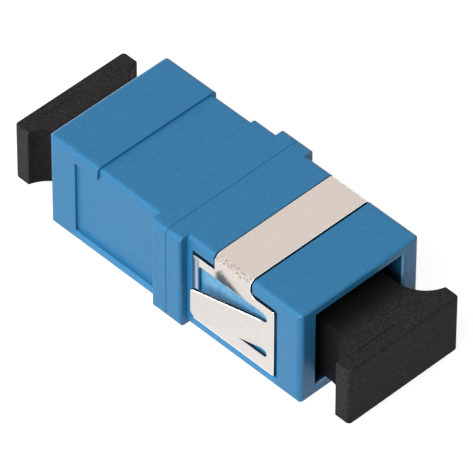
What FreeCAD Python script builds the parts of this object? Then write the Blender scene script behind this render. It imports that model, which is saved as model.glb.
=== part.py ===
"""SC simplex fibre-optic adapter: two keyed ports back to back, a panel clip and two dust caps.

Frame: the origin is the middle of the optical axis, +X runs out of the front port (the one whose half
carries the clip), +Y to the left seen from there, +Z up.  Every half is drawn with its mouth towards +X
and its mating plane at x = 0; the rear ones are turned half a turn about Z by their Placement.
"""
import FreeCAD
import Part
import Sketcher
import os

Vector = FreeCAD.Vector
doc = FreeCAD.newDocument("ScAdapter")

# ---------------------------------------------------------------- driving dimensions (mm, degrees)

SIZES = [
    # two housing halves
    ("body_length", 27.9, "both halves, mouth to mouth"),
    ("body_width", 12.8, "fills a 13 mm wide panel cut-out"),
    ("body_height", 9.5, "fills a 9.6 mm high panel cut-out"),
    ("edge_radius", 0.45, "long outer edges of the body"),
    ("mouth_edge_radius", 0.27, "outer edges round each mouth"),
    ("mouth_corner_radius", 0.5, "upright outer edges of each mouth"),
    ("rib_length", 3.2, "panel stop, both halves together"),
    ("rib_stand", 0.8, "how far the panel stop stands out on each side"),
    ("rib_corner_radius", 0.5, "top and bottom corners of the panel stop"),
    ("rib_edge_radius", 0.25, "upright edges of the panel stop"),
    ("seam_chamfer", 0.08, "half of the V groove along the weld seam"),
    ("port_width", 9.2, "plug space, across"),
    ("port_height", 7.5, "plug space, up"),
    ("lead_in", 0.28, "rounding of the plug space's edge at the mouth"),
    ("keyway_width", 2.4, "slot for the plug's key"),
    ("keyway_length", 4.6, "key slot, from the mouth"),
    ("pin_diameter", 0.9, "locating pins of the weld face"),
    ("pin_length", 0.9, ""),
    ("pin_clearance", 0.05, "round and beyond each pin"),
    ("pin_spread", 6.0, "between the two pins of one side"),
    # seats that take the clip
    ("seat_depth", 0.25, "clip seat below the body's surface"),
    ("seat_radius", 0.4, "corner of the strap seat"),
    ("seat_lip", 1.08, "ledge under the side seats, from the underside"),
    ("seat_top_margin", 1.17, "side seats below the top face"),
    ("seat_rib_gap", 0.56, "strip between panel stop and side seat"),
    ("front_seat_margin", 2.5, "side seat from the front mouth"),
    ("front_strap_margin", 5.25, "strap seat from the front mouth"),
    ("front_strap_seat", 4.2, "strap seat, along the body"),
    ("rear_seat_margin", 2.93, "side seat from the rear mouth"),
    ("rear_strap_margin", 5.5, "strap seat from the rear mouth"),
    ("rear_strap_seat", 4.5, "strap seat, along the body"),
    # latch holders
    ("flange_width", 10.6, "holder's base flange"),
    ("flange_height", 8.1, ""),
    ("flange_thickness", 1.2, ""),
    ("flange_radius", 0.6, "corners of the flange"),
    ("flange_clearance", 0.04, "flange in its seat, each way"),
    ("tube_diameter", 4.4, "tube that holds half the sleeve"),
    ("tube_lip", 0.8, "collar that traps the sleeve"),
    ("tube_chamfer", 0.25, "outer end of the tube"),
    ("entry_diameter", 2.9, "hole in the collar, round a 2.5 mm ferrule"),
    ("entry_chamfer", 0.35, "guides the ferrule in"),
    ("hook_reach", 8.9, "latch hooks' tips from the mating plane"),
    ("hook_gap", 7.24, "between the two latch arms"),
    ("hook_thickness", 0.85, "latch arm"),
    ("hook_height", 3.8, "latch arm, up"),
    ("hook_root_radius", 0.4, "inside corner where the arm leaves the flange"),
    ("lug_gap", 5.3, "between the lugs of the two latch arms"),
    ("lug_length", 1.6, "lug along the arm"),
    ("lug_flat", 0.5, "crest of the lug"),
    ("lug_back_slope", 0.25, "slope of the catching face"),
    ("lug_tip", 0.2, "lug's height where its ramp ends at the arm's tip"),
    ("relief_depth", 0.75, "room for each arm to spring out"),
    ("relief_side", 0.4, "relief above and below each arm"),
    ("relief_end", 0.5, "relief past the arm's tip"),
    # split sleeve
    ("sleeve_length", 11.4, ""),
    ("sleeve_bore", 2.51, "takes 2.499 mm ferrules"),
    ("sleeve_diameter", 3.2, ""),
    ("sleeve_slot", 0.5, "slit along the sleeve"),
    ("sleeve_chamfer", 0.12, "outer ends of the sleeve"),
    ("sleeve_clearance", 0.05, "sleeve in its tube"),
    ("sleeve_end_play", 0.1, "each end"),
    # spring clip
    ("sheet", 0.3, "clip's stainless sheet"),
    ("clip_clearance", 0.03, "clip to the seat's floor"),
    ("plate_rear_gap", 0.09, "side plate in its seat, towards the panel stop"),
    ("plate_front_gap", 0.3, "side plate in its seat, towards the mouth"),
    ("plate_foot_gap", 0.06, "side plate above the ledge"),
    ("plate_top_gap", 0.33, "side plate below the seat's upper edge"),
    ("plate_corner_radius", 0.18, "corners of the side plates"),
    ("strap_rear_gap", 0.15, "strap in its seat, towards the panel stop"),
    ("strap_front_gap", 0.15, "strap in its seat, towards the mouth"),
    ("strap_fillet", 0.6, "where the strap widens into the plate"),
    ("rail_rear", 0.65, "frame of the side window"),
    ("rail_top", 0.85, ""),
    ("rail_foot", 1.4, ""),
    ("rail_front", 0.75, ""),
    ("slot_top", 0.91, "slit above the tongue"),
    ("slot_foot", 0.75, "slit below the tongue"),
    ("window_radius", 0.25, "rear corners of the window"),
    ("tongue_setback", 0.65, "tongue's root behind the slits' ends"),
    ("tongue_length", 6.35, "root to free end"),
    ("tongue_angle", 14.0, "how far the tongue is bent out"),
    ("tongue_bend", 0.8, "radius of its bend"),
    ("tongue_foot_radius", 0.8, "lower corner of the free end"),
    ("tongue_top_radius", 0.2, "upper corner of the free end"),
    # dust caps
    ("plug_width", 7.15, "cap's plug"),
    ("plug_shoulder_gap", 0.25, "plug's shoulder from the latch hooks, pushed home"),
    ("nose_clearance", 0.2, "plug's nose to each lug"),
    ("nose_length", 2.0, ""),
    ("nose_chamfer", 0.3, ""),
    ("core_diameter", 3.2, "blind hole cored out of the plug"),
    ("core_depth", 5.0, ""),
    ("neck_start", 0.14, "where the neck begins to flare, outside the mouth"),
    ("neck_radius", 3.1, "hollow of the neck"),
    ("cap_width", 11.8, "finger plate"),
    ("cap_height", 5.75, "the whole cap"),
    ("cap_thickness", 1.4, ""),
    ("cap_corner_radius", 0.35, "upright edges of the plate"),
    ("cap_edge_radius", 0.15, "top and bottom edges"),
    ("cap_sink", 0.65, "caps hang this far below the optical axis"),
    ("cap_shift", 0.15, "caps sit this far to one side"),
    ("front_cap_gap", 0.35, "front cap short of home"),
    # all cuts
    ("overshoot", 1.0, "how far a cut runs past the surface that it opens"),
]

sheet = doc.addObject("Spreadsheet::Sheet", "Dimensions")
for row, (alias, number, note) in enumerate(SIZES, start=1):
    sheet.set(f"A{row}", alias)
    sheet.set(f"B{row}", str(number))
    sheet.setAlias(f"B{row}", alias)
    sheet.set(f"C{row}", note)
doc.recompute()

HALF_TURN = FreeCAD.Rotation(Vector(0, 0, 1), 180)


def size(expression):
    """The present value of an expression written in the sheet's words."""
    return float(sheet.evalExpression(bound(expression)))


def bound(expression):
    """The expression with every sheet word turned into a reference to its cell."""
    words = {alias for alias, _, _ in SIZES}
    out, word = "", ""
    for letter in str(expression) + " ":
        if letter.isalnum() or letter == "_":
            word += letter
        else:
            out += ("Dimensions." + word if word in words else word) + letter
            word = ""
    return out.strip()


# ---------------------------------------------------------------- places that several pieces share

MOUTH = "body_length / 2"
MOUTH_ROUNDING = "0.45 * min(body_height - port_height; body_width - port_width) / 2"  # what the wall allows
SEAT_FLOOR_SIDE = "(body_width / 2 - seat_depth)"
SEAT_FLOOR_TOP = "(body_height / 2 - seat_depth)"
SEAT_FOOT = "(seat_lip - body_height / 2)"
SEAT_HEAD = "(body_height / 2 - seat_top_margin)"
SEAT_START = "(rib_length / 2 + seat_rib_gap)"
FLANGE_SEAT = "(flange_thickness + flange_clearance / 2)"
TUBE_BORE = "(sleeve_diameter / 2 + sleeve_clearance)"
TUBE_STOP = "(sleeve_length / 2 + sleeve_end_play)"
TUBE_END = "(" + TUBE_STOP + " + tube_lip)"
ARM_OUTSIDE = "(hook_gap / 2 + hook_thickness)"

PLATE_REAR = "(" + SEAT_START + " + plate_rear_gap)"
PLATE_FRONT = "(body_length / 2 - front_seat_margin - plate_front_gap)"
PLATE_FOOT = "(" + SEAT_FOOT + " + plate_foot_gap)"
PLATE_HEAD = "(" + SEAT_HEAD + " - plate_top_gap)"
PLATE_INSIDE = "(" + SEAT_FLOOR_SIDE + " + clip_clearance)"
PLATE_OUTSIDE = "(" + PLATE_INSIDE + " + sheet)"
STRAP_INSIDE = "(" + SEAT_FLOOR_TOP + " + clip_clearance)"
STRAP_OUTSIDE = "(" + STRAP_INSIDE + " + sheet)"
STRAP_FRONT = "(body_length / 2 - front_strap_margin - strap_front_gap)"
STRAP_REAR = "(body_length / 2 - front_strap_margin - front_strap_seat + strap_rear_gap)"
SLIT_END = "(" + PLATE_FRONT + " - rail_front)"
TONGUE_ROOT = "(" + SLIT_END + " - tongue_setback)"
TONGUE_HEAD = "(" + PLATE_HEAD + " - rail_top - slot_top)"
TONGUE_FOOT = "(" + PLATE_FOOT + " + rail_foot + slot_foot)"


# ---------------------------------------------------------------- sketching

def new_body(name, placement=FreeCAD.Placement()):
    body = doc.addObject("PartDesign::Body", name.title().replace("_", ""))
    body.Label = name
    body.Placement = placement
    return body


def new_sketch(body, name, role, offset="0"):
    """A sketch on one of the body's own origin planes, moved along that plane's normal."""
    sketch = body.newObject("Sketcher::SketchObject", body.Name + name)
    plane = next(f for f in body.Origin.OriginFeatures if f.Role == role)
    sketch.AttachmentSupport = [(plane, "")]
    sketch.MapMode = "FlatFace"
    sketch.setExpression("AttachmentOffset.Base.z", bound(offset))
    return sketch


def tie(sketch, kind, expression, *where):
    """Adds one dimension to a sketch and binds it to the sheet."""
    place = sketch.addConstraint(Sketcher.Constraint(kind, *where, size(expression)))
    sketch.setExpression(f"Constraints[{place}]", bound(expression))


def straight_outline(sketch, corners):
    """A closed outline of straight edges; each corner is a pair of expressions."""
    first = sketch.GeometryCount
    count = len(corners)
    places = [Vector(size(u), size(v), 0) for u, v in corners]
    for i in range(count):
        sketch.addGeometry(Part.LineSegment(places[i], places[(i + 1) % count]), False)
    for i, (u, v) in enumerate(corners):
        sketch.addConstraint(Sketcher.Constraint("Coincident", first + i, 1, first + (i - 1) % count, 2))
        tie(sketch, "DistanceX", u, -1, 1, first + i, 1)
        tie(sketch, "DistanceY", v, -1, 1, first + i, 1)


def square_outline(sketch, corners):
    """A closed outline of level and upright edges whose corners may be rounded.

    Each corner is (u, v) or (u, v, radius).  Edges are placed by their distance from the origin,
    and each rounded corner is an arc tangent to its two edges.
    """
    count = len(corners)
    places = [Vector(size(c[0]), size(c[1]), 0) for c in corners]
    radii = [c[2] if len(c) > 2 else None for c in corners]
    ends = []
    for i in range(count):
        before = (places[i - 1] - places[i]).normalize()
        after = (places[(i + 1) % count] - places[i]).normalize()
        inset = size(radii[i]) if radii[i] else 0
        ends.append((places[i] + before * inset, places[i] + after * inset, before, after, inset))
    lines = [
        sketch.addGeometry(Part.LineSegment(ends[i][1], ends[(i + 1) % count][0]), False)
        for i in range(count)
    ]
    for i, line in enumerate(lines):
        level = abs(places[i].y - places[(i + 1) % count].y) < 1e-9
        sketch.addConstraint(Sketcher.Constraint("Horizontal" if level else "Vertical", line))
        tie(sketch, "DistanceY" if level else "DistanceX", corners[i][1 if level else 0], -1, 1, line, 1)
    for i in range(count):
        start, end, before, after, inset = ends[i]
        if not radii[i]:
            sketch.addConstraint(Sketcher.Constraint("Coincident", lines[i - 1], 2, lines[i], 1))
            continue
        centre = places[i] + (before + after) * inset
        middle = centre - (before + after).normalize() * inset
        turns_left = (start - centre).cross(end - centre).z > 0
        bend = Part.Arc(start, middle, end) if turns_left else Part.Arc(end, middle, start)
        arc = sketch.addGeometry(bend, False)
        first_end, last_end = (1, 2) if turns_left else (2, 1)
        sketch.addConstraint(Sketcher.Constraint("Tangent", lines[i - 1], 2, arc, first_end))
        sketch.addConstraint(Sketcher.Constraint("Tangent", arc, last_end, lines[i], 1))
        tie(sketch, "Radius", radii[i], arc)


def rectangle(sketch, u_low, u_high, v_low, v_high, radius=None):
    corners = [(u_low, v_low), (u_high, v_low), (u_high, v_high), (u_low, v_high)]
    square_outline(sketch, [c + (radius,) if radius else c for c in corners])


def circle(sketch, diameter, u="0", v="0"):
    ring = sketch.addGeometry(Part.Circle(Vector(size(u), size(v), 0), Vector(0, 0, 1), size(diameter) / 2))
    tie(sketch, "Diameter", diameter, ring)
    tie(sketch, "DistanceX", u, -1, 1, ring, 3)
    tie(sketch, "DistanceY", v, -1, 1, ring, 3)


# ---------------------------------------------------------------- features

def volume(body):
    doc.recompute()
    return body.Shape.Volume


def feature(body, kind, name, sketch, length, backwards=False, both_ways=False):
    """A pad or pocket of a stated length along its sketch's normal, or against it."""
    made = body.newObject("PartDesign::" + kind, body.Name + name)
    made.Profile = sketch
    made.SideType = "Symmetric" if both_ways else "One side"
    made.setExpression("Length", bound(length))
    made.Reversed = backwards if kind == "Pad" else not backwards
    sketch.Visibility = False
    return made


def pad(body, name, sketch, length, backwards=False, both_ways=False):
    before = body.Shape.Volume if body.Tip else 0
    feature(body, "Pad", name, sketch, length, backwards, both_ways)
    if volume(body) <= before:
        raise RuntimeError(f"{body.Label}: {name} adds nothing")


def cut(body, name, sketch, length, backwards=False, both_ways=False):
    before = body.Shape.Volume
    feature(body, "Pocket", name, sketch, length, backwards, both_ways)
    if volume(body) >= before:
        raise RuntimeError(f"{body.Label}: {name} cuts nothing")


def dress(body, kind, name, amount, chosen):
    """A fillet or chamfer on the edges of the last feature that the test picks."""
    doc.recompute()
    base = body.Tip
    names = [f"Edge{i}" for i, edge in enumerate(base.Shape.Edges, start=1) if chosen(edge)]
    if not names:
        raise RuntimeError(f"{body.Label}: {name} finds no edge")
    made = body.newObject("PartDesign::" + kind, body.Name + name)
    made.Base = (base, names)
    made.setExpression("Radius" if kind == "Fillet" else "Size", bound(amount))
    doc.recompute()
    if "Invalid" in made.State or made.Shape.isNull():
        raise RuntimeError(f"{body.Label}: {name} can't be made")


def middle(edge):
    low, high = edge.ParameterRange
    return edge.valueAt((low + high) / 2)


def near(value, expression):
    return abs(value - size(expression)) < 1e-4


def in_plane_x(edge, expression):
    """True when the whole edge lies in the plane x = expression."""
    box = edge.BoundBox
    return near(box.XMin, expression) and near(box.XMax, expression)


def runs_along(edge, axis):
    """True for a straight edge along the given axis."""
    if not isinstance(edge.Curve, Part.Line):
        return False
    return abs(abs(edge.tangentAt(edge.FirstParameter).dot(axis)) - 1) < 1e-6


Y, Z = Vector(0, 1, 0), Vector(0, 0, 1)


# ---------------------------------------------------------------- housing halves

def housing_half(name, placement, seat_margin, strap_margin, strap_seat):
    """One moulded half: a square tube with half the panel stop, the clip seats and a keyed port."""
    body = new_body(name, placement)
    half_width, half_height = "body_width / 2", "body_height / 2"

    # panel stop first: rounded seen from the mouth, then its upright edges rounded from above
    rib_side = "(" + half_width + " + rib_stand)"
    sketch = new_sketch(body, "RibSection", "YZ_Plane")
    rectangle(sketch, "-" + rib_side, rib_side, "-" + half_height, half_height, "rib_corner_radius")
    pad(body, "Rib", sketch, "rib_length / 2")
    sketch = new_sketch(body, "RibPlan", "XY_Plane")
    beyond = rib_side + " + overshoot"
    rectangle(sketch, "-overshoot", "rib_length / 2 + overshoot", "-(" + beyond + ")", beyond)
    square_outline(sketch, [
        ("-overshoot / 2", "-" + rib_side), ("rib_length / 2", "-" + rib_side, "rib_edge_radius"),
        ("rib_length / 2", rib_side, "rib_edge_radius"), ("-overshoot / 2", rib_side),
    ])
    cut(body, "RibEdges", sketch, "2 * body_height", both_ways=True)

    sketch = new_sketch(body, "Section", "YZ_Plane")
    rectangle(sketch, "-" + half_width, half_width, "-" + half_height, half_height, "edge_radius")
    pad(body, "Tube", sketch, MOUTH)
    dress(body, "Fillet", "MouthEdge", f"min(mouth_edge_radius; {MOUTH_ROUNDING})",
          lambda e: in_plane_x(e, MOUTH))
    dress(body, "Chamfer", "Seam", "seam_chamfer", lambda e: in_plane_x(e, "0"))

    # the mouth's two upright edges are rounder than the rest
    sketch = new_sketch(body, "MouthPlan", "XY_Plane")
    behind, past = f"({MOUTH} - 2 * mouth_corner_radius)", f"({MOUTH} + overshoot)"
    for side in ("", "-"):
        square_outline(sketch, [
            (behind, side + f"({half_width})"), (behind, side + f"({half_width} + overshoot)"),
            (past, side + f"({half_width} + overshoot)"),
            (past, side + f"({half_width} - 2 * mouth_corner_radius)"),
            (MOUTH, side + f"({half_width} - 2 * mouth_corner_radius)"),
            (MOUTH, side + f"({half_width})", "mouth_corner_radius"),
        ])
    cut(body, "MouthCorners", sketch, "2 * body_height", both_ways=True)

    # strap seat: over the top and down both sides, the same depth all the way
    outside = half_width + " + overshoot"
    sketch = new_sketch(body, "StrapSeatSection", "YZ_Plane", f"{MOUTH} - {strap_margin} - {strap_seat}")
    square_outline(sketch, [
        ("-(" + outside + ")", SEAT_FOOT), ("-" + SEAT_FLOOR_SIDE, SEAT_FOOT),
        ("-" + SEAT_FLOOR_SIDE, SEAT_FLOOR_TOP, "seat_radius"),
        (SEAT_FLOOR_SIDE, SEAT_FLOOR_TOP, "seat_radius"),
        (SEAT_FLOOR_SIDE, SEAT_FOOT), (outside, SEAT_FOOT),
        (outside, half_height + " + overshoot"), ("-(" + outside + ")", half_height + " + overshoot"),
    ])
    cut(body, "StrapSeat", sketch, strap_seat)

    sketch = new_sketch(body, "SideSeatSection", "YZ_Plane", SEAT_START)
    rectangle(sketch, SEAT_FLOOR_SIDE, outside, SEAT_FOOT, SEAT_HEAD)
    rectangle(sketch, "-(" + outside + ")", "-" + SEAT_FLOOR_SIDE, SEAT_FOOT, SEAT_HEAD)
    cut(body, "SideSeats", sketch, f"{MOUTH} - {seat_margin} - {SEAT_START}")

    # plug space, from the holder's flange to the mouth
    sketch = new_sketch(body, "PortSection", "YZ_Plane")
    rectangle(sketch, "-port_width / 2", "port_width / 2", "-port_height / 2", "port_height / 2")
    cut(body, "Port", sketch, MOUTH)
    dress(body, "Fillet", "LeadIn", f"min(lead_in; {MOUTH_ROUNDING})",
          lambda e: in_plane_x(e, MOUTH) and abs(middle(e).y) < size("port_width / 2") + 1e-4
          and abs(middle(e).z) < size("port_height / 2") + 1e-4)

    seat_width = "(flange_width / 2 + flange_clearance)"
    seat_height = "(flange_height / 2 + flange_clearance)"
    sketch = new_sketch(body, "FlangeSeatSection", "YZ_Plane")
    rectangle(sketch, "-" + seat_width, seat_width, "-" + seat_height, seat_height, "flange_radius")
    cut(body, "FlangeSeat", sketch, FLANGE_SEAT)

    # hollows in the side walls that let the latch arms spring apart
    hollow = "(" + ARM_OUTSIDE + " + relief_depth)"
    rise = "(hook_height / 2 + relief_side)"
    sketch = new_sketch(body, "ReliefSection", "YZ_Plane")
    rectangle(sketch, "-" + hollow, hollow, "-" + rise, rise)
    cut(body, "Relief", sketch, "hook_reach + relief_end")

    sketch = new_sketch(body, "KeywaySection", "YZ_Plane", f"{MOUTH} - keyway_length")
    rectangle(sketch, "-keyway_width / 2", "keyway_width / 2",
              "-(" + half_height + " + overshoot)", "-port_height / 4")
    cut(body, "Keyway", sketch, "keyway_length")

    # two pins on one side of the weld face, two holes for the other half's pins
    pin_side = "(body_width / 2 + rib_stand + flange_width / 2 + flange_clearance) / 2"
    sketch = new_sketch(body, "PinSection", "YZ_Plane")
    circle(sketch, "pin_diameter", pin_side, "pin_spread / 2")
    circle(sketch, "pin_diameter", pin_side, "-pin_spread / 2")
    pad(body, "Pins", sketch, "pin_length", backwards=True)
    sketch = new_sketch(body, "PinHoleSection", "YZ_Plane")
    circle(sketch, "pin_diameter + 2 * pin_clearance", "-" + pin_side, "pin_spread / 2")
    circle(sketch, "pin_diameter + 2 * pin_clearance", "-" + pin_side, "-pin_spread / 2")
    cut(body, "PinHoles", sketch, "pin_length + pin_clearance")
    return body


# ---------------------------------------------------------------- latch holders

def latch_holder(name, placement):
    """Moulded inner half: a flange, the tube round half the sleeve, and two latch hooks."""
    body = new_body(name, placement)

    sketch = new_sketch(body, "FlangeSection", "YZ_Plane")
    rectangle(sketch, "-flange_width / 2", "flange_width / 2", "-flange_height / 2", "flange_height / 2",
              "flange_radius")
    pad(body, "Flange", sketch, "flange_thickness")

    sketch = new_sketch(body, "TubeSection", "YZ_Plane")
    circle(sketch, "tube_diameter")
    pad(body, "Tube", sketch, TUBE_END)
    dress(body, "Chamfer", "TubeEnd", "tube_chamfer", lambda e: in_plane_x(e, TUBE_END))

    # bore for the sleeve, collar and flared ferrule entry, turned about the optical axis
    sketch = new_sketch(body, "BoreProfile", "XY_Plane")
    straight_outline(sketch, [
        ("0", "0"), ("0", TUBE_BORE), (TUBE_STOP, TUBE_BORE), (TUBE_STOP, "entry_diameter / 2"),
        (TUBE_END + " - entry_chamfer", "entry_diameter / 2"),
        (TUBE_END, "entry_diameter / 2 + entry_chamfer"), (TUBE_END, "0"),
    ])
    before = volume(body)
    bore = body.newObject("PartDesign::Groove", body.Name + "Bore")
    bore.Profile = sketch
    bore.ReferenceAxis = (sketch, ["H_Axis"])
    bore.Angle = 360
    if volume(body) >= before:
        raise RuntimeError(f"{name}: the bore cuts nothing")

    sketch = new_sketch(body, "HookProfile", "XY_Plane")
    back = "(hook_reach - lug_length)"
    for side in ("", "-"):
        straight_outline(sketch, [
            ("flange_thickness", side + "(hook_gap / 2)"),
            (back, side + "(hook_gap / 2)"),
            (back + " + lug_back_slope", side + "(lug_gap / 2)"),
            (back + " + lug_back_slope + lug_flat", side + "(lug_gap / 2)"),
            ("hook_reach", side + "(hook_gap / 2 - lug_tip)"),
            ("hook_reach", side + ARM_OUTSIDE),
            ("flange_thickness", side + ARM_OUTSIDE),
        ])
    pad(body, "Hooks", sketch, "hook_height", both_ways=True)
    dress(body, "Fillet", "HookRoot", "hook_root_radius",
          lambda e: runs_along(e, Z) and near(middle(e).x, "flange_thickness")
          and near(abs(middle(e).y), "hook_gap / 2"))
    return body


# ---------------------------------------------------------------- split sleeve

def alignment_sleeve():
    """Ground ceramic tube with a slit along it, which grips both ferrules."""
    body = new_body("alignment_sleeve")
    sketch = new_sketch(body, "Section", "YZ_Plane")
    circle(sketch, "sleeve_diameter")
    circle(sketch, "sleeve_bore")
    pad(body, "Tube", sketch, "sleeve_length", both_ways=True)
    dress(body, "Chamfer", "Ends", "sleeve_chamfer",
          lambda e: isinstance(e.Curve, Part.Circle) and near(2 * e.Curve.Radius, "sleeve_diameter"))
    sketch = new_sketch(body, "SlotProfile", "YZ_Plane")
    rectangle(sketch, "-sleeve_slot / 2", "sleeve_slot / 2", "sleeve_bore / 4", "sleeve_diameter")
    cut(body, "Slot", sketch, "sleeve_length", both_ways=True)
    return body


# ---------------------------------------------------------------- spring clip

def spring_clip():
    """Stainless sheet folded over the body, with a sprung tongue cut out of each side plate."""
    body = new_body("spring_clip")
    outer_bend = "(seat_radius + clip_clearance + sheet)"
    inner_bend = "(seat_radius + clip_clearance)"
    sketch = new_sketch(body, "SaddleSection", "YZ_Plane", PLATE_REAR)
    square_outline(sketch, [
        ("-" + PLATE_OUTSIDE, PLATE_FOOT), ("-" + PLATE_INSIDE, PLATE_FOOT),
        ("-" + PLATE_INSIDE, STRAP_INSIDE, inner_bend), (PLATE_INSIDE, STRAP_INSIDE, inner_bend),
        (PLATE_INSIDE, PLATE_FOOT), (PLATE_OUTSIDE, PLATE_FOOT),
        (PLATE_OUTSIDE, STRAP_OUTSIDE, outer_bend), ("-" + PLATE_OUTSIDE, STRAP_OUTSIDE, outer_bend),
    ])
    pad(body, "Saddle", sketch, f"{PLATE_FRONT} - {PLATE_REAR}")

    # the saddle is narrowed to the strap above both side plates
    above = "(" + STRAP_OUTSIDE + " + overshoot)"
    whole = "4 * body_width"
    sketch = new_sketch(body, "RearShoulder", "XZ_Plane")
    rectangle(sketch, PLATE_REAR + " - overshoot", STRAP_REAR, PLATE_HEAD, above)
    cut(body, "RearShoulderCut", sketch, whole, both_ways=True)
    sketch = new_sketch(body, "FrontShoulder", "XZ_Plane")
    square_outline(sketch, [
        (STRAP_FRONT, PLATE_HEAD, "strap_fillet"), (PLATE_FRONT + " + overshoot", PLATE_HEAD),
        (PLATE_FRONT + " + overshoot", above), (STRAP_FRONT, above),
    ])
    cut(body, "FrontShoulderCut", sketch, whole, both_ways=True)

    window_rear = "(" + PLATE_REAR + " + rail_rear)"
    window_foot = "(" + PLATE_FOOT + " + rail_foot)"
    window_head = "(" + PLATE_HEAD + " - rail_top)"
    sketch = new_sketch(body, "WindowOutline", "XZ_Plane")
    square_outline(sketch, [
        (window_rear, window_foot, "window_radius"), (SLIT_END, window_foot, "0.48 * slot_foot"),
        (SLIT_END, TONGUE_FOOT, "0.48 * slot_foot"), (TONGUE_ROOT, TONGUE_FOOT),
        (TONGUE_ROOT, TONGUE_HEAD), (SLIT_END, TONGUE_HEAD, "0.48 * slot_top"),
        (SLIT_END, window_head, "0.48 * slot_top"), (window_rear, window_head, "window_radius"),
    ])
    cut(body, "Windows", sketch, whole, both_ways=True)

    # tongues, bent out at their roots
    run = "tongue_length * cos(tongue_angle * 1 deg)"
    rise = "tongue_length * sin(tongue_angle * 1 deg)"
    tip_out = (f"{TONGUE_ROOT} - {run}", f"({PLATE_OUTSIDE} + {rise})")
    tip_in = (f"{TONGUE_ROOT} - {run} - sheet * sin(tongue_angle * 1 deg)",
              f"({PLATE_OUTSIDE} + {rise} - sheet * cos(tongue_angle * 1 deg))")
    sketch = new_sketch(body, "TongueProfile", "XY_Plane", TONGUE_FOOT)
    for side in ("", "-"):
        straight_outline(sketch, [
            (TONGUE_ROOT, side + PLATE_INSIDE), (TONGUE_ROOT, side + PLATE_OUTSIDE),
            (tip_out[0], side + tip_out[1]), (tip_in[0], side + tip_in[1]),
        ])
    pad(body, "Tongues", sketch, f"{TONGUE_HEAD} - {TONGUE_FOOT}")

    def at_tip(edge, level):
        spot = middle(edge)
        return near(spot.z, level) and abs(spot.x - size(f"({tip_out[0]} + {tip_in[0]}) / 2")) < 1e-4

    dress(body, "Fillet", "TongueFeet", "tongue_foot_radius", lambda e: at_tip(e, TONGUE_FOOT))
    dress(body, "Fillet", "TongueHeads", "tongue_top_radius", lambda e: at_tip(e, TONGUE_HEAD))
    dress(body, "Fillet", "TongueBends", "tongue_bend",
          lambda e: runs_along(e, Z) and near(middle(e).x, TONGUE_ROOT)
          and near(abs(middle(e).y), PLATE_OUTSIDE))
    dress(body, "Fillet", "PlateCorners", "plate_corner_radius",
          lambda e: runs_along(e, Y) and (near(middle(e).x, PLATE_REAR) or near(middle(e).x, PLATE_FRONT)))
    return body


# ---------------------------------------------------------------- dust caps

def dust_cap(name, turn, gap):
    """Moulded soft cap: a nose between the latch hooks, a plug, a hollow neck and a finger plate."""
    body = new_body(name, FreeCAD.Placement(Vector(), turn))
    way = "-" if turn.Angle > 1 else ""
    body.setExpression("Placement.Base.x", bound(f"{way}(body_length / 2 + {gap})"))
    body.setExpression("Placement.Base.y", bound(f"{way}(-cap_shift)"))
    body.setExpression("Placement.Base.z", bound("-cap_sink"))

    shoulder = "(hook_reach + plug_shoulder_gap - body_length / 2)"
    nose_end = "(" + shoulder + " - nose_length)"
    nose_side = "(lug_gap / 2 - nose_clearance - cap_shift / 2)"
    plate_end = "(neck_start + neck_radius + cap_thickness)"
    sketch = new_sketch(body, "Outline", "XY_Plane")
    square_outline(sketch, [
        (nose_end, "-" + nose_side), (shoulder, "-" + nose_side), (shoulder, "-plug_width / 2"),
        ("neck_start", "-plug_width / 2"), ("neck_start", "-cap_width / 2"),
        (plate_end, "-cap_width / 2", "cap_corner_radius"), (plate_end, "cap_width / 2", "cap_corner_radius"),
        ("neck_start", "cap_width / 2"), ("neck_start", "plug_width / 2"),
        (shoulder, "plug_width / 2"), (shoulder, nose_side), (nose_end, nose_side),
    ])
    pad(body, "Blank", sketch, "cap_height", both_ways=True)

    sketch = new_sketch(body, "NeckOutline", "XY_Plane")
    for side in ("", "-"):
        circle(sketch, "2 * neck_radius", "neck_start", side + "(plug_width / 2 + neck_radius)")
    cut(body, "Neck", sketch, "2 * cap_height", both_ways=True)
    dress(body, "Chamfer", "NoseEnd", "nose_chamfer", lambda e: in_plane_x(e, nose_end))
    dress(body, "Fillet", "Edges", "cap_edge_radius",
          lambda e: near(abs(middle(e).z), "cap_height / 2") and middle(e).x > size(shoulder) + 0.01)

    sketch = new_sketch(body, "CoreSection", "YZ_Plane", nose_end)
    circle(sketch, "core_diameter")
    cut(body, "Core", sketch, "core_depth")
    return body


# ---------------------------------------------------------------- the adapter

STRAIGHT = FreeCAD.Placement()
TURNED = FreeCAD.Placement(Vector(), HALF_TURN)

subparts = [
    housing_half("front_housing", STRAIGHT, "front_seat_margin", "front_strap_margin", "front_strap_seat"),
    housing_half("rear_housing", TURNED, "rear_seat_margin", "rear_strap_margin", "rear_strap_seat"),
    latch_holder("front_latch_holder", STRAIGHT),
    latch_holder("rear_latch_holder", TURNED),
    alignment_sleeve(),
    spring_clip(),
    dust_cap("front_dust_cap", FreeCAD.Rotation(), "front_cap_gap"),
    dust_cap("rear_dust_cap", HALF_TURN, "0"),
]
doc.recompute()

for item in doc.Objects:
    if "Invalid" in item.State or "Error" in item.State:
        raise RuntimeError(f"{item.Label} failed: {item.State}")
for body in subparts:
    shape = body.Shape
    if shape.isNull() or not shape.isValid() or len(shape.Solids) != 1:
        raise RuntimeError(f"{body.Label} is not one valid solid")

os.makedirs("parts", exist_ok=True)
for body in subparts:
    body.Shape.exportStep(f"parts/{body.Label}.step")
    print(f"{body.Label}: {body.Shape.Volume:.2f} mm3")
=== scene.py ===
import math

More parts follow.
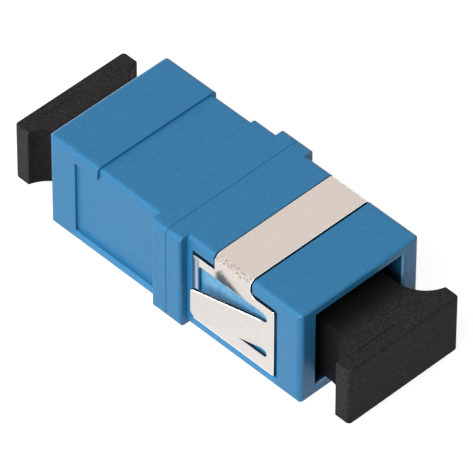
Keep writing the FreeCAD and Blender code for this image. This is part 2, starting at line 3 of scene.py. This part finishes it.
import bpy
import numpy as np
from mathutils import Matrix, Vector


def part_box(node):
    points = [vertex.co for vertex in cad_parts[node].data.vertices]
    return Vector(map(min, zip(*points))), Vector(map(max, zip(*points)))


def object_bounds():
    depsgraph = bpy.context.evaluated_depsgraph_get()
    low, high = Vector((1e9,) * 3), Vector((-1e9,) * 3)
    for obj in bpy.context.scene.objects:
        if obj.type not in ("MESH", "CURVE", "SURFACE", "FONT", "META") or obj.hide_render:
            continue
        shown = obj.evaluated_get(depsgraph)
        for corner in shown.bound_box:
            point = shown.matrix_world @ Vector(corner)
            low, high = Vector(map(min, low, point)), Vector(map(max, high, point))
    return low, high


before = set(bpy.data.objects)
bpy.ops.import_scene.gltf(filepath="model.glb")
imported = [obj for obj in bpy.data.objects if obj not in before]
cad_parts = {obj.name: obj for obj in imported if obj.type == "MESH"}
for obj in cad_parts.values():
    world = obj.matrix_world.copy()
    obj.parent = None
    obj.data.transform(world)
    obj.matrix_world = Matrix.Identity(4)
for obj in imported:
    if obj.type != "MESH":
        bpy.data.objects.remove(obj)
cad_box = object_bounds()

# ---------------------------------------------------------------------------- alignment sleeve
# A split tube of ground zirconia that grips both ferrules.  It floats in the two latch holders
# and shows only when the caps are out and one looks down a port.

MM = 0.001
ZIRCONIA = (0.90, 0.89, 0.85, 1)
ZIRCONIA_WARM = (0.83, 0.81, 0.76, 1)
ZIRCONIA_ROUGHNESS = (0.18, 0.30)
GRINDING_MARK = 0.08 * MM


def new_material(name):
    """An empty node material with a Principled shader; returns it, its tree, shader and coordinates."""
    material = bpy.data.materials.new(name)
    material.use_nodes = True
    tree = material.node_tree
    tree.nodes.clear()
    output = tree.nodes.new("ShaderNodeOutputMaterial")
    finish = tree.nodes.new("ShaderNodeBsdfPrincipled")
    place = tree.nodes.new("ShaderNodeTexCoord").outputs["Object"]
    tree.links.new(finish.outputs["BSDF"], output.inputs["Surface"])
    return material, tree, finish, place


def feed(tree, socket, source):
    """Sets a socket to a number or colour, or links an output to it."""
    if isinstance(source, bpy.types.NodeSocket):
        tree.links.new(source, socket)
    else:
        socket.default_value = source


def stretched(tree, place, x, y, z):
    """The coordinates multiplied along each axis, for a grain that runs one way."""
    node = tree.nodes.new("ShaderNodeMapping")
    node.inputs["Scale"].default_value = (x, y, z)
    tree.links.new(place, node.inputs["Vector"])
    return node.outputs["Vector"]


def mottle(tree, place, size, detail=2.0, roughness=0.5):
    """Soft noise from 0 to 1 whose patches are about `size` metres across."""
    node = tree.nodes.new("ShaderNodeTexNoise")
    node.inputs["Scale"].default_value = 1 / size
    node.inputs["Detail"].default_value = detail
    node.inputs["Roughness"].default_value = roughness
    tree.links.new(place, node.inputs["Vector"])
    return node.outputs["Fac"]


def sloped(tree, value, low, high, to_low=0.0, to_high=1.0, smooth=False):
    """The value carried from the range low..high to to_low..to_high, held at both ends."""
    node = tree.nodes.new("ShaderNodeMapRange")
    node.interpolation_type = "SMOOTHSTEP" if smooth else "LINEAR"
    feed(tree, node.inputs["Value"], value)
    sockets = ("From Min", "From Max", "To Min", "To Max")
    for socket, number in zip(sockets, (low, high, to_low, to_high)):
        feed(tree, node.inputs[socket], number)
    return node.outputs["Result"]


def blended(tree, share, first, second):
    """Two colours mixed by a share from 0 to 1."""
    node = tree.nodes.new("ShaderNodeMix")
    node.data_type = "RGBA"
    feed(tree, node.inputs["Factor"], share)
    feed(tree, node.inputs[6], first)
    feed(tree, node.inputs[7], second)
    return node.outputs[2]


def relief(tree, height, depth, normal=None):
    """A bump of the given depth in metres, over an earlier normal if there is one."""
    node = tree.nodes.new("ShaderNodeBump")
    node.inputs["Distance"].default_value = depth
    feed(tree, node.inputs["Height"], height)
    if normal is not None:
        tree.links.new(normal, node.inputs["Normal"])
    return node.outputs["Normal"]


def dress(node_name, material):
    """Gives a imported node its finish."""
    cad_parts[node_name].data.materials[0] = material


def zirconia():
    """Faint rings left by grinding round the tube, over a slow change of tone."""
    material, tree, finish, place = new_material("ground_zirconia")
    rings = mottle(tree, stretched(tree, place, 1, 0.05, 0.05), GRINDING_MARK)
    tone = mottle(tree, place, 1.5 * MM)
    feed(tree, finish.inputs["Base Color"], blended(tree, tone, ZIRCONIA_WARM, ZIRCONIA))
    feed(tree, finish.inputs["Roughness"], sloped(tree, rings, 0.3, 0.7, *ZIRCONIA_ROUGHNESS))
    feed(tree, finish.inputs["Normal"], relief(tree, rings, 0.001 * MM))
    finish.inputs["Subsurface Weight"].default_value = 0.15
    finish.inputs["Subsurface Scale"].default_value = 0.4 * MM
    return material


dress("alignment_sleeve", zirconia())

# ---------------------------------------------------------------------------- latch holders
# Two moulded inner halves, each with a flange, half of the sleeve's tube and two latch hooks.
# They are natural thermoplastic, trapped between the housing halves when these are welded.

NATURAL = (0.72, 0.72, 0.69, 1)
NATURAL_DEEP = (0.60, 0.60, 0.56, 1)
MOULDED_ROUGHNESS = (0.38, 0.52)


def eased_edges(tree, radius):
    """The normal with every sharp edge rounded by the radius, as on a moulded or sheared edge."""
    node = tree.nodes.new("ShaderNodeBevel")
    node.samples = 6
    node.inputs["Radius"].default_value = radius
    return node.outputs["Normal"]


def natural_plastic():
    """Streaks of flow along the port, under a fine moulded grain."""
    material, tree, finish, place = new_material("natural_plastic")
    flow = mottle(tree, stretched(tree, place, 0.4, 1, 1), 1.2 * MM, detail=4)
    grain = mottle(tree, place, 0.12 * MM, detail=3)
    rounded = eased_edges(tree, 0.06 * MM)
    feed(tree, finish.inputs["Base Color"], blended(tree, flow, NATURAL_DEEP, NATURAL))
    feed(tree, finish.inputs["Roughness"], sloped(tree, grain, 0.3, 0.7, *MOULDED_ROUGHNESS))
    feed(tree, finish.inputs["Normal"], relief(tree, grain, 0.003 * MM, rounded))
    return material


holder_plastic = natural_plastic()
dress("front_latch_holder", holder_plastic)
dress("rear_latch_holder", holder_plastic)

# ---------------------------------------------------------------------------- housing halves
# Two light blue thermoplastic mouldings, welded mating face to mating face.  Their skin is a
# satin spark-eroded texture, paler on worn edges that also carry a painted highlight, with painted
# light on the ledges under the clip and round the ports, and painted shade in the grooves round
# the clip's seats and down the ports.

BLUE = (0.018, 0.166, 0.342, 1)
BLUE_PALE = (0.026, 0.182, 0.365, 1)
BLUE_DEEP = (0.015, 0.156, 0.325, 1)
BLUE_DARK = (0.012, 0.140, 0.300, 1)
BLUE_WORN_AND_HIGHLIGHT = (0.035, 0.225, 0.43, 1)
BLUE_PAINTED_GROOVE_SHADE = (0.006, 0.085, 0.220, 1)
BLUE_PAINTED_GAP_SHADE = (0.004, 0.020, 0.045, 1)
BLUE_PAINTED_LIGHT = (0.020, 0.240, 0.500, 1)
BLUE_PAINTED_HIGHLIGHT = (0.15, 0.37, 0.57, 1)
BLUE_PAINTED_REFLECTION = (0.30, 0.40, 0.50, 1)

# farther out than any point of the adapter, for a place that is open on one side
BEYOND = 1.0
CLIP_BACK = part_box("spring_clip")[0].x
CLIP_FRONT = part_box("spring_clip")[1].x
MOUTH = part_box("front_housing")[1].x
BODY_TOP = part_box("front_housing")[1].z
PORT_HALF_WIDTH = 4.60 * MM
PORT_HALF_HEIGHT = 3.75 * MM

# places on the moulding, each given as lowest, highest and how softly it ends
SIDE_FACE = (6.34 * MM, 7.00 * MM, 0.05 * MM)
LEDGE_LENGTH = (CLIP_BACK - 0.15 * MM, CLIP_FRONT + 0.05 * MM, 0.4 * MM)
LEDGE_HEIGHT = (0.20 * MM - BODY_TOP, -3.70 * MM, 0.12 * MM)
SEAT_FLOOR = (5.90 * MM, 6.28 * MM, 0.03 * MM)
SEAT_LENGTH = (CLIP_BACK - 0.15 * MM, CLIP_FRONT + 0.85 * MM, 0.05 * MM)
SEAT_HEIGHT = (-3.2 * MM, 2.4 * MM, 0.1 * MM)
SLIDE_MARK_LENGTH = (4.83 * MM, 4.93 * MM, 0.03 * MM)
SLIDE_MARK_HEIGHT = (-1.0 * MM, 1.3 * MM, 0.1 * MM)
REAR_MOUTH = (-BEYOND, 0.21 * MM - MOUTH, 0.04 * MM)
TOP_EDGE = (BODY_TOP - 0.25 * MM, BEYOND, 0.05 * MM)
MOUTH_FACE = (MOUTH - 0.15 * MM, MOUTH + 0.05 * MM, 0.03 * MM)


def maths(tree, kind, first, second=0.0):
    """One step of arithmetic on one or two values."""
    node = tree.nodes.new("ShaderNodeMath")
    node.operation = kind
    feed(tree, node.inputs[0], first)
    feed(tree, node.inputs[1], second)
    return node.outputs["Value"]


def unsigned(tree, value):
    """The value without its sign, for what repeats on the opposite side or end."""
    return maths(tree, "ABSOLUTE", value)


def product(tree, *values):
    """The values multiplied together, as for shares that all have to hold."""
    result = values[0]
    for value in values[1:]:
        result = maths(tree, "MULTIPLY", result, value)
    return result


def laid_over(tree, base, colour, share, strength=1.0):
    """The base colour with another over it, by a share from 0 to 1 times the strength."""
    if strength != 1.0:
        share = product(tree, share, strength)
    return blended(tree, share, base, colour)


def near_edge(tree, rounded):
    """0 on flat faces and up to 1 where the eased normal leaves the true one."""
    true = tree.nodes.new("ShaderNodeNewGeometry").outputs["Normal"]
    node = tree.nodes.new("ShaderNodeVectorMath")
    node.operation = "DOT_PRODUCT"
    tree.links.new(rounded, node.inputs[0])
    tree.links.new(true, node.inputs[1])
    return sloped(tree, node.outputs["Value"], 1.0, 0.8)


def separate(tree, vector):
    """The three numbers of a vector."""
    node = tree.nodes.new("ShaderNodeSeparateXYZ")
    tree.links.new(vector, node.inputs["Vector"])
    return node.outputs[0], node.outputs[1], node.outputs[2]


def inside(tree, *ranges):
    """1 where every value lies inside its place, each given as value, low, high and softness."""
    shares = []
    for value, low, high, soft in ranges:
        rise = sloped(tree, value, low - soft, low + soft)
        fall = sloped(tree, value, high - soft, high + soft, 1.0, 0.0)
        shares.append(product(tree, rise, fall))
    return product(tree, *shares)


def gap_shade(tree, reach, closed, open_air):
    """A mask for painted shade: 1 in the depth of a narrow gap and 0 in the open, by how much of the
    near space is free.
    """
    node = tree.nodes.new("ShaderNodeAmbientOcclusion")
    node.samples = 8
    node.inputs["Distance"].default_value = reach
    return sloped(tree, node.outputs["AO"], closed, open_air, 1.0, 0.0, smooth=True)


def within_port(side, height, margin, soft):
    """The ranges of a port's opening, made wider and higher by the two margins."""
    return ((side, -BEYOND, PORT_HALF_WIDTH + margin[0], soft),
            (height, -BEYOND, PORT_HALF_HEIGHT + margin[1], soft))


def blue_plastic():
    """Flow, clouds and grain first, then worn edges with a painted highlight, then painted light on
    ledge, seat floor and mouths, and painted shade in gaps.
    """
    material, tree, finish, place = new_material("blue_plastic")
    rounded = eased_edges(tree, 0.08 * MM)
    flow = mottle(tree, stretched(tree, place, 0.5, 1, 1), 4 * MM, detail=3)
    grain = mottle(tree, place, 0.22 * MM, detail=3, roughness=0.6)
    clouds = mottle(tree, place, 0.9 * MM, detail=3)
    body = blended(tree, sloped(tree, flow, 0.35, 0.65), BLUE_DEEP, BLUE)
    body = laid_over(tree, body, BLUE_PALE, sloped(tree, clouds, 0.3, 0.7, 0.0, 0.5))
    body = laid_over(tree, body, BLUE_DARK, sloped(tree, grain, 0.32, 0.68))
    patchy = sloped(tree, mottle(tree, place, 1.2 * MM, detail=3), 0.35, 0.7, 0.3, 1.0)
    # worn edges, made paler also by a painted highlight
    body = laid_over(tree, body, BLUE_WORN_AND_HIGHLIGHT, near_edge(tree, rounded), patchy)

    # painted light: the ledge under the clip and the floor of its seat are toned paler than the sides,
    # and a painted pool of light brightens the seat floor upwards
    along, across, level = separate(tree, place)
    end, side, height = (unsigned(tree, number) for number in (along, across, level))
    ledge = inside(tree, (side, *SIDE_FACE), (end, *LEDGE_LENGTH), (level, *LEDGE_HEIGHT))
    body = laid_over(tree, body, BLUE_PAINTED_LIGHT, ledge, 0.5)
    seat = inside(tree, (side, *SEAT_FLOOR), (along, *SEAT_LENGTH), (level, *SEAT_HEIGHT))
    body = laid_over(tree, body, BLUE_PAINTED_LIGHT, seat, 0.8)
    painted_seat_light = product(tree, seat, sloped(tree, level, -0.2 * MM, 1.2 * MM, 0.0, 0.9))
    body = laid_over(tree, body, BLUE_PAINTED_HIGHLIGHT, painted_seat_light, sloped(tree, clouds, 0.3, 0.6, 0.4, 1.0))

    # a painted highlight makes the rear mouth's top edge paler, and a fine dark line from the mould
    # crosses the seat floor
    rear_edge_highlight = inside(tree, (along, *REAR_MOUTH), (level, *TOP_EDGE))
    body = laid_over(tree, body, BLUE_PAINTED_HIGHLIGHT, rear_edge_highlight)
    slide_mark = inside(tree, (end, *SLIDE_MARK_LENGTH), (level, *SLIDE_MARK_HEIGHT))
    body = laid_over(tree, body, BLUE_DARK, product(tree, seat, slide_mark), 0.7)

    # painted light makes the face round each port paler at its rim, and a painted reflection makes the
    # port's own edge paler still
    for colour, margin, soft, strength in (
        (BLUE_PAINTED_LIGHT, (0.28 * MM, 0.28 * MM), 0.01 * MM, 0.45),
        (BLUE_PAINTED_REFLECTION, (0.13 * MM, 0.15 * MM), 0.015 * MM, 0.70),
    ):
        painted_rim = inside(tree, (end, *MOUTH_FACE), *within_port(side, height, margin, soft))
        body = laid_over(tree, body, colour, painted_rim, strength)

    # painted shade darkens the grooves, the narrow gaps and the inside of each port
    body = laid_over(tree, body, BLUE_PAINTED_GROOVE_SHADE, gap_shade(tree, 0.4 * MM, 0.34, 0.60))
    body = laid_over(tree, body, BLUE_PAINTED_GAP_SHADE, gap_shade(tree, 0.4 * MM, 0.08, 0.26))
    port = inside(tree, *within_port(side, height, (0.02 * MM, 0.02 * MM), 0.02 * MM))
    body = laid_over(tree, body, BLUE_PAINTED_GAP_SHADE, port, gap_shade(tree, 3 * MM, 0.3, 0.8))
    feed(tree, finish.inputs["Base Color"], body)
    feed(tree, finish.inputs["Roughness"], sloped(tree, grain, 0.25, 0.75, *MOULDED_ROUGHNESS))
    feed(tree, finish.inputs["Normal"], relief(tree, grain, 0.0035 * MM, rounded))
    finish.inputs["Specular IOR Level"].default_value = 0.45
    return material


housing_plastic = blue_plastic()
dress("front_housing", housing_plastic)
dress("rear_housing", housing_plastic)

# ---------------------------------------------------------------------------- spring clip
# One stainless sheet, sheared, lanced and folded over the front half.  The faces keep the mill's
# fine grain and a few rubs from the bending tool, and the strap on top has a painted warm reflection;
# the sheared edges are dull and carry painted shade between two painted highlights, and the strip
# beside the panel stop carries a painted reflection of the stop's blue.

STEEL = (0.665, 0.63, 0.605, 1)
STEEL_WARM_REFLECTION = (0.725, 0.63, 0.57, 1)
STEEL_DULL = (0.50, 0.46, 0.43, 1)
STEEL_SCUFFED = (0.24, 0.20, 0.17, 1)
STEEL_BURNISHED = (0.95, 0.93, 0.90, 1)
STEEL_TORN_AND_SHADED = (0.10, 0.105, 0.12, 1)
STEEL_PAINTED_HIGHLIGHT = (1.0, 1.0, 1.0, 1)
STEEL_PAINTED_BLUE_REFLECTION = (0.10, 0.20, 0.31, 1)
STEEL_PAINTED_GLINT = (0.34, 0.47, 0.60, 1)
STEEL_PAINTED_DARK_REFLECTION = (0.02, 0.06, 0.12, 1)
STEEL_PAINTED_SHADE = (0.03, 0.035, 0.05, 1)
STEEL_ROUGHNESS = (0.13, 0.20)

# places on the sheet, given as those on the moulding are
STRAP_LEVEL = 4.3 * MM
CLIP_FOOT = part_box("spring_clip")[0].z
BEND_WIDTH = (5.95 * MM, 7.00 * MM, 0.12 * MM)
BEND_HEIGHT = (STRAP_LEVEL, STRAP_LEVEL + 0.7 * MM, 0.12 * MM)
PLATE_FACE = (6.30 * MM, 7.00 * MM, 0.02 * MM)
STRIP_LENGTH = (CLIP_BACK - 0.25 * MM, CLIP_BACK + 0.71 * MM, 0.03 * MM)
STRIP_HEIGHT = (-0.8 * MM, 3.1 * MM, 0.3 * MM)
STRIP_PAINTED_GLINT = (CLIP_BACK + 0.33 * MM, CLIP_BACK + 0.55 * MM, 0.05 * MM)
STRIP_PAINTED_DARK = (CLIP_BACK - 0.25 * MM, CLIP_BACK + 0.25 * MM, 0.05 * MM)


def sheared_steel():
    """Mill grain, speckle and a painted warm reflection first, then rubs at the bends, cut edges with
    painted shade and highlights, the painted reflection on the strip, and painted shade in gaps.
    """
    material, tree, finish, place = new_material("stainless_sheet")
    rounded = eased_edges(tree, 0.13 * MM)
    edge = near_edge(tree, rounded)
    mill = mottle(tree, stretched(tree, place, 1, 0.08, 0.08), 0.08 * MM, detail=3)
    speckle = mottle(tree, place, 0.18 * MM, detail=3, roughness=0.65)
    cloud = mottle(tree, place, 0.9 * MM, detail=3, roughness=0.6)
    along, across, level = separate(tree, place)
    side = unsigned(tree, across)
    # the strap over the top is toned warmer, a painted reflection
    on_strap = sloped(tree, level, STRAP_LEVEL - 1.2 * MM, STRAP_LEVEL + 0.5 * MM)
    tone = blended(tree, on_strap, STEEL, STEEL_WARM_REFLECTION)
    tone = laid_over(tree, tone, STEEL_DULL, sloped(tree, cloud, 0.3, 0.7, 0.0, 0.12))
    tone = laid_over(tree, tone, STEEL_DULL, sloped(tree, speckle, 0.3, 0.75, 0.0, 0.30))

    # the bending tool rubs the outside of each bend
    bend = inside(tree, (side, *BEND_WIDTH), (level, *BEND_HEIGHT))
    rubs = mottle(tree, stretched(tree, place, 0.5, 1, 1), 0.13 * MM, detail=3, roughness=0.7)
    tone = laid_over(tree, tone, STEEL_SCUFFED, bend, sloped(tree, rubs, 0.54, 0.64, 0.0, 0.8))
    tone = laid_over(tree, tone, STEEL_BURNISHED, bend, sloped(tree, rubs, 0.46, 0.36, 0.0, 0.6))

    # sheared faces are dull from the tear and darkened by painted shade, between two painted highlights
    # on the rims
    facing = separate(tree, tree.nodes.new("ShaderNodeNewGeometry").outputs["True Normal"])
    end_cut = sloped(tree, unsigned(tree, facing[0]), 0.88, 0.93)
    below_strap = sloped(tree, level, STRAP_LEVEL, STRAP_LEVEL - 0.1 * MM)
    facing_up = sloped(tree, unsigned(tree, facing[2]), 0.88, 0.93)
    level_cut = product(tree, facing_up, below_strap)
    tone = laid_over(tree, tone, STEEL_TORN_AND_SHADED, maths(tree, "MAXIMUM", end_cut, level_cut))
    foot_highlight = sloped(tree, level, CLIP_FOOT + 0.15 * MM, CLIP_FOOT + 0.07 * MM)
    tone = laid_over(tree, tone, STEEL_PAINTED_HIGHLIGHT, maths(tree, "MAXIMUM", edge, product(tree, foot_highlight, 0.8)))

    # painted reflection: the strip beside the panel stop is painted with the stop's blue, with a
    # painted glint and a painted dark band
    painted_reflection_strip = inside(tree, (along, *STRIP_LENGTH), (level, *STRIP_HEIGHT), (side, *PLATE_FACE))
    tone = laid_over(tree, tone, STEEL_PAINTED_BLUE_REFLECTION, painted_reflection_strip, 0.9)
    painted_glint = product(tree, painted_reflection_strip, inside(tree, (along, *STRIP_PAINTED_GLINT)))
    tone = laid_over(tree, tone, STEEL_PAINTED_GLINT, painted_glint)
    depth = product(tree, painted_reflection_strip, inside(tree, (along, *STRIP_PAINTED_DARK)))
    tone = laid_over(tree, tone, STEEL_PAINTED_DARK_REFLECTION, depth, 0.8)
    # painted shade in the gaps round the clip
    tone = laid_over(tree, tone, STEEL_PAINTED_SHADE, gap_shade(tree, 0.2 * MM, 0.15, 0.42))
    feed(tree, finish.inputs["Base Color"], tone)
    feed(tree, finish.inputs["Roughness"], sloped(tree, mill, 0.3, 0.7, *STEEL_ROUGHNESS))
    feed(tree, finish.inputs["Normal"], relief(tree, mill, 0.001 * MM, rounded))
    finish.inputs["Metallic"].default_value = 1.0
    return material


dress("spring_clip", sheared_steel())

# ---------------------------------------------------------------------------- dust caps
# Soft black mouldings, one pushed into each port.  The skin is matte with a fine eroded grain
# and pale specks, and a witness line crosses the top where the plate's insert meets the neck.

BLACK = (0.0065, 0.0058, 0.0064, 1)
BLACK_GRAIN = (0.030, 0.0275, 0.0285, 1)
BLACK_SPECK = (0.060, 0.056, 0.058, 1)
BLACK_DEEP = (0.0010, 0.0010, 0.0014, 1)
CAP_ROUGHNESS = (0.60, 0.80)

# places on the caps, given as those on the moulding are
REAR_CAP_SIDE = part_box("rear_dust_cap")[0].y
REAR_PLATE = (-BEYOND, -16.2 * MM, 0.1 * MM)
REAR_PLATE_SIDE = (-BEYOND, REAR_CAP_SIDE + 0.10 * MM, 0.05 * MM)
WITNESS_LENGTH = (17.60 * MM, 17.70 * MM, 0.02 * MM)
WITNESS_WIDTH = (-4.2 * MM, 0.8 * MM, 0.3 * MM)
WITNESS_HEIGHT = (2.1 * MM, 5.0 * MM, 0.05 * MM)
NECK_DARK = 14.4 * MM
NECK_OPEN = 16.4 * MM


def edge_reach(tree, reach):
    """1 on broad faces and less within the reach of an outer edge, seen from inside the solid."""
    node = tree.nodes.new("ShaderNodeAmbientOcclusion")
    node.samples = 8
    node.inside = True
    node.inputs["Distance"].default_value = reach
    return node.outputs["AO"]


def black_rubber():
    """Grain, clouds and specks first, then a painted highlight and shade line at the edges and painted
    shade near the ports, then the paler rear end, the witness line and painted shade on the necks.
    """
    material, tree, finish, place = new_material("black_soft_plastic")
    rounded = eased_edges(tree, 0.10 * MM)
    grain = mottle(tree, place, 0.30 * MM, detail=5, roughness=0.78)
    pits = mottle(tree, place, 0.16 * MM, detail=2, roughness=0.6)
    cloud = mottle(tree, place, 3 * MM, detail=2)
    body = blended(tree, sloped(tree, grain, 0.32, 0.68), BLACK, BLACK_GRAIN)
    body = laid_over(tree, body, BLACK, sloped(tree, cloud, 0.3, 0.7, 0.0, 0.25))
    body = laid_over(tree, body, BLACK_SPECK, sloped(tree, pits, 0.58, 0.68, 0.0, 0.6))
    body = laid_over(tree, body, BLACK_DEEP, sloped(tree, pits, 0.44, 0.36, 0.0, 0.8))

    # painted highlight and shade: each outer edge has a pale rim with a dark line a little inside it
    from_edge = edge_reach(tree, 0.3 * MM)
    body = laid_over(tree, body, BLACK_DEEP, inside(tree, (from_edge, 0.74, 0.84, 0.04)))
    body = laid_over(tree, body, BLACK_SPECK, sloped(tree, from_edge, 0.68, 0.56, 0.0, 0.8))
    # painted shade where the caps are hemmed in by the housing
    body = laid_over(tree, body, BLACK_DEEP, gap_shade(tree, 5 * MM, 0.3, 0.92))

    # the rear plate's near end is toned paler, and painted shade darkens both necks towards the ports
    along, across, level = separate(tree, place)
    end = unsigned(tree, along)
    rear_end_paler = inside(tree, (along, *REAR_PLATE), (across, *REAR_PLATE_SIDE))
    body = laid_over(tree, body, BLACK_SPECK, rear_end_paler, 0.22)
    witness = inside(tree, (end, *WITNESS_LENGTH), (across, *WITNESS_WIDTH), (level, *WITNESS_HEIGHT))
    body = laid_over(tree, body, BLACK_DEEP, witness, 0.8)
    painted_neck_shade = sloped(tree, end, NECK_DARK, NECK_OPEN, 0.9, 0.0, smooth=True)
    body = laid_over(tree, body, BLACK_DEEP, painted_neck_shade)
    feed(tree, finish.inputs["Base Color"], body)
    feed(tree, finish.inputs["Roughness"], sloped(tree, grain, 0.3, 0.7, *CAP_ROUGHNESS))
    feed(tree, finish.inputs["Normal"], relief(tree, grain, 0.040 * MM, rounded))
    finish.inputs["Specular IOR Level"].default_value = 0.13
    return material


cap_plastic = black_rubber()
dress("front_dust_cap", cap_plastic)
dress("rear_dust_cap", cap_plastic)

# ---------------------------------------------------------------------------- floor and light
# A plain white table and surround, one large soft lamp high on the near side and a weak even
# fill from all round, so that the near side and the top stay bright and the front end is dimmer.

FLOOR_Z = cad_box[0].z
FLOOR_HALF = 1.5
FLOOR_GREY = (0.30, 0.30, 0.30, 1)
FLOOR_GLOW = 0.9
SURROUND_WHITE = (1.0, 1.0, 1.0, 1)
FILL = 0.22
LAMP_DIRECTION = Vector((0.11, -0.79, 0.61)).normalized()
LAMP_DISTANCE = 0.8
LAMP_SIDE = 0.6
LAMP_POWER = 10.2

scene = bpy.context.scene


def shown(tree):
    """1 for what the camera and mirror-like surfaces see, 0 for light that only fills."""
    path = tree.nodes.new("ShaderNodeLightPath").outputs
    share = maths(tree, "MAXIMUM", path["Is Camera Ray"], path["Is Glossy Ray"])
    return maths(tree, "MAXIMUM", share, path["Is Transmission Ray"])


def white_floor():
    """A grey that takes the shadow, with a glow that only shows and lights nothing."""
    material = bpy.data.materials.new("white_floor")
    material.use_nodes = True
    tree = material.node_tree
    tree.nodes.clear()
    output = tree.nodes.new("ShaderNodeOutputMaterial")
    matt = tree.nodes.new("ShaderNodeBsdfDiffuse")
    matt.inputs["Color"].default_value = FLOOR_GREY
    glow = tree.nodes.new("ShaderNodeEmission")
    feed(tree, glow.inputs["Strength"], product(tree, shown(tree), FLOOR_GLOW))
    both = tree.nodes.new("ShaderNodeAddShader")
    tree.links.new(matt.outputs["BSDF"], both.inputs[0])
    tree.links.new(glow.outputs["Emission"], both.inputs[1])
    tree.links.new(both.outputs["Shader"], output.inputs["Surface"])
    return material


def floor_mesh():
    """Four corners of a level square under the adapter."""
    corners = np.array([(-1, -1), (1, -1), (1, 1), (-1, 1)]) * FLOOR_HALF
    points = np.column_stack([corners, np.full(4, FLOOR_Z)])
    mesh = bpy.data.meshes.new("floor")
    mesh.from_pydata(points.tolist(), [], [(0, 1, 2, 3)])
    mesh.materials.append(white_floor())
    return mesh


floor = bpy.data.objects.new("floor", floor_mesh())
scene.collection.objects.link(floor)

world = bpy.data.worlds.new("surround")
scene.world = world
world.use_nodes = True
backdrop = world.node_tree.nodes["Background"]
backdrop.inputs["Color"].default_value = SURROUND_WHITE
strength = sloped(world.node_tree, shown(world.node_tree), 0.0, 1.0, FILL, 1.0)
feed(world.node_tree, backdrop.inputs["Strength"], strength)

light = bpy.data.lights.new("key_lamp", "AREA")
light.shape = "SQUARE"
light.size = LAMP_SIDE
light.energy = LAMP_POWER
lamp = bpy.data.objects.new("key_lamp", light)
lamp_turn = LAMP_DIRECTION.to_track_quat("Z", "Y").to_matrix().to_4x4()
lamp.matrix_world = Matrix.Translation(LAMP_DIRECTION * LAMP_DISTANCE) @ lamp_turn
scene.collection.objects.link(lamp)

# ---------------------------------------------------------------------------- camera
# A long lens far off, so that the edges stay nearly parallel.  It stands above the near front
# corner, turned by a fraction of a degree about its own axis.

AZIMUTH = math.radians(45.683)
ELEVATION = math.radians(44.815)
ROLL = math.radians(0.217)
DISTANCE = 0.56431
SIDEWAYS = 0.000294
UPWARDS = -0.000663
SENSOR_WIDTH = 36.0
FOCAL_LENGTH = 554.28

back = Vector((
    math.sin(AZIMUTH) * math.cos(ELEVATION),
    -math.cos(AZIMUTH) * math.cos(ELEVATION),
    math.sin(ELEVATION),
))
level_right = Vector((0, 0, 1)).cross(back).normalized()
level_up = back.cross(level_right)
right = level_right * math.cos(ROLL) + level_up * math.sin(ROLL)
up = level_up * math.cos(ROLL) - level_right * math.sin(ROLL)

lens = bpy.data.cameras.new("camera")
lens.sensor_width = SENSOR_WIDTH
lens.lens = FOCAL_LENGTH
lens.clip_start = 0.01
lens.clip_end = 10.0
camera = bpy.data.objects.new("camera", lens)
camera.matrix_world = Matrix((
    (right.x, up.x, back.x, 0),
    (right.y, up.y, back.y, 0),
    (right.z, up.z, back.z, 0),
    (0, 0, 0, 1),
))
camera.location = back * DISTANCE + right * SIDEWAYS + up * UPWARDS
scene.collection.objects.link(camera)
scene.camera = camera
scene.view_settings.view_transform = "Standard"
